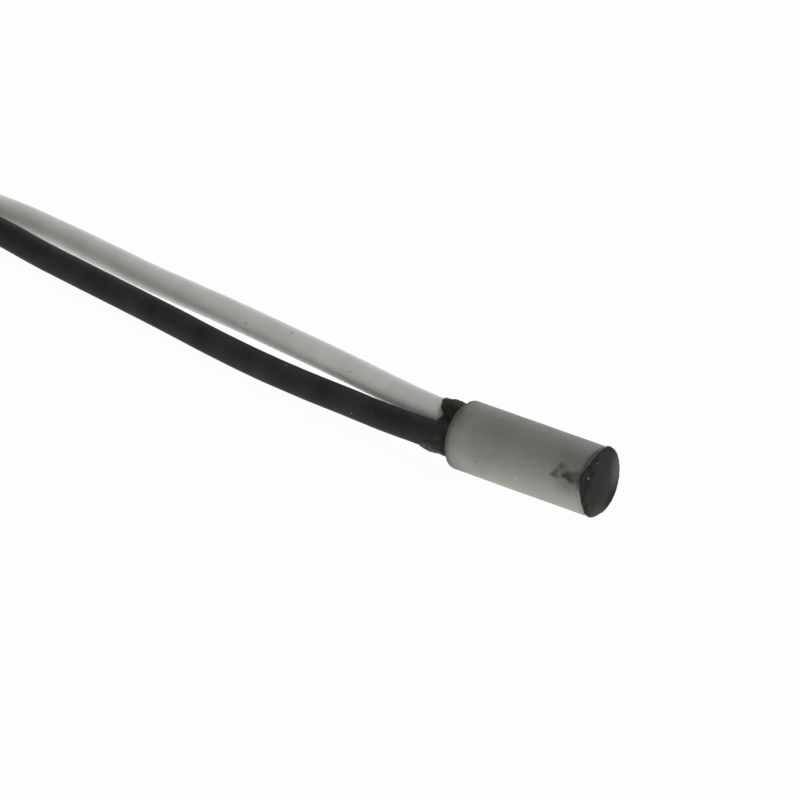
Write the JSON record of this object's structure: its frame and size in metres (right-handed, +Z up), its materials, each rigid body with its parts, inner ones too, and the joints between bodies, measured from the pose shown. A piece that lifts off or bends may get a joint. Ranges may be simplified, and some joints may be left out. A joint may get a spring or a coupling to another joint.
{
  "type": "resistance temperature detector probe",
  "caption": "Miniature ceramic-cased platinum temperature sensor with a white and a black insulated lead, both wound into a tied hank.",
  "frame": {"origin": "under the middle of the case, tip seal and potting, on the surface that the probe lies on", "axes": "+X along the case to its closed tip, +Z up, +Y to the left when looking along +X; the leads run off to -X"},
  "size_m": [0.0817, 0.0133, 0.0059],
  "materials": {
    "grey_alumina": "matte",
    "dark_seal": "satin",
    "dark_potting": "satin",
    "white_cement": "matte",
    "white_alumina": "matte",
    "platinum": "bright",
    "clear_glass": "gloss",
    "tinned_sleeve": "satin",
    "tinned_strand": "satin",
    "white_insulation": "satin",
    "black_insulation": "satin",
    "hank_insulation": "satin",
    "tie_plastic": "matte"
  },
  "bodies": {
    "root": {"ceramic_case": "grey_alumina", "tip_seal": "dark_seal", "lead_end_potting": "dark_potting", "element_filler": "white_cement", "chip_substrate": "white_alumina", "platinum_track": "platinum", "glass_cover": "clear_glass", "glass_bead": "clear_glass", "element_wire_a": "platinum", "element_wire_b": "platinum", "splice_sleeve_a": "tinned_sleeve", "splice_sleeve_b": "tinned_sleeve", "white_lead_conductor": "tinned_strand", "black_lead_conductor": "tinned_strand", "white_lead": "white_insulation", "black_lead": "black_insulation", "lead_hank": "hank_insulation", "hank_tie": "tie_plastic", "white_lead_tail": "white_insulation", "black_lead_tail": "black_insulation", "white_lead_tip": "tinned_strand", "black_lead_tip": "tinned_strand"}
  },
  "joints": []
}
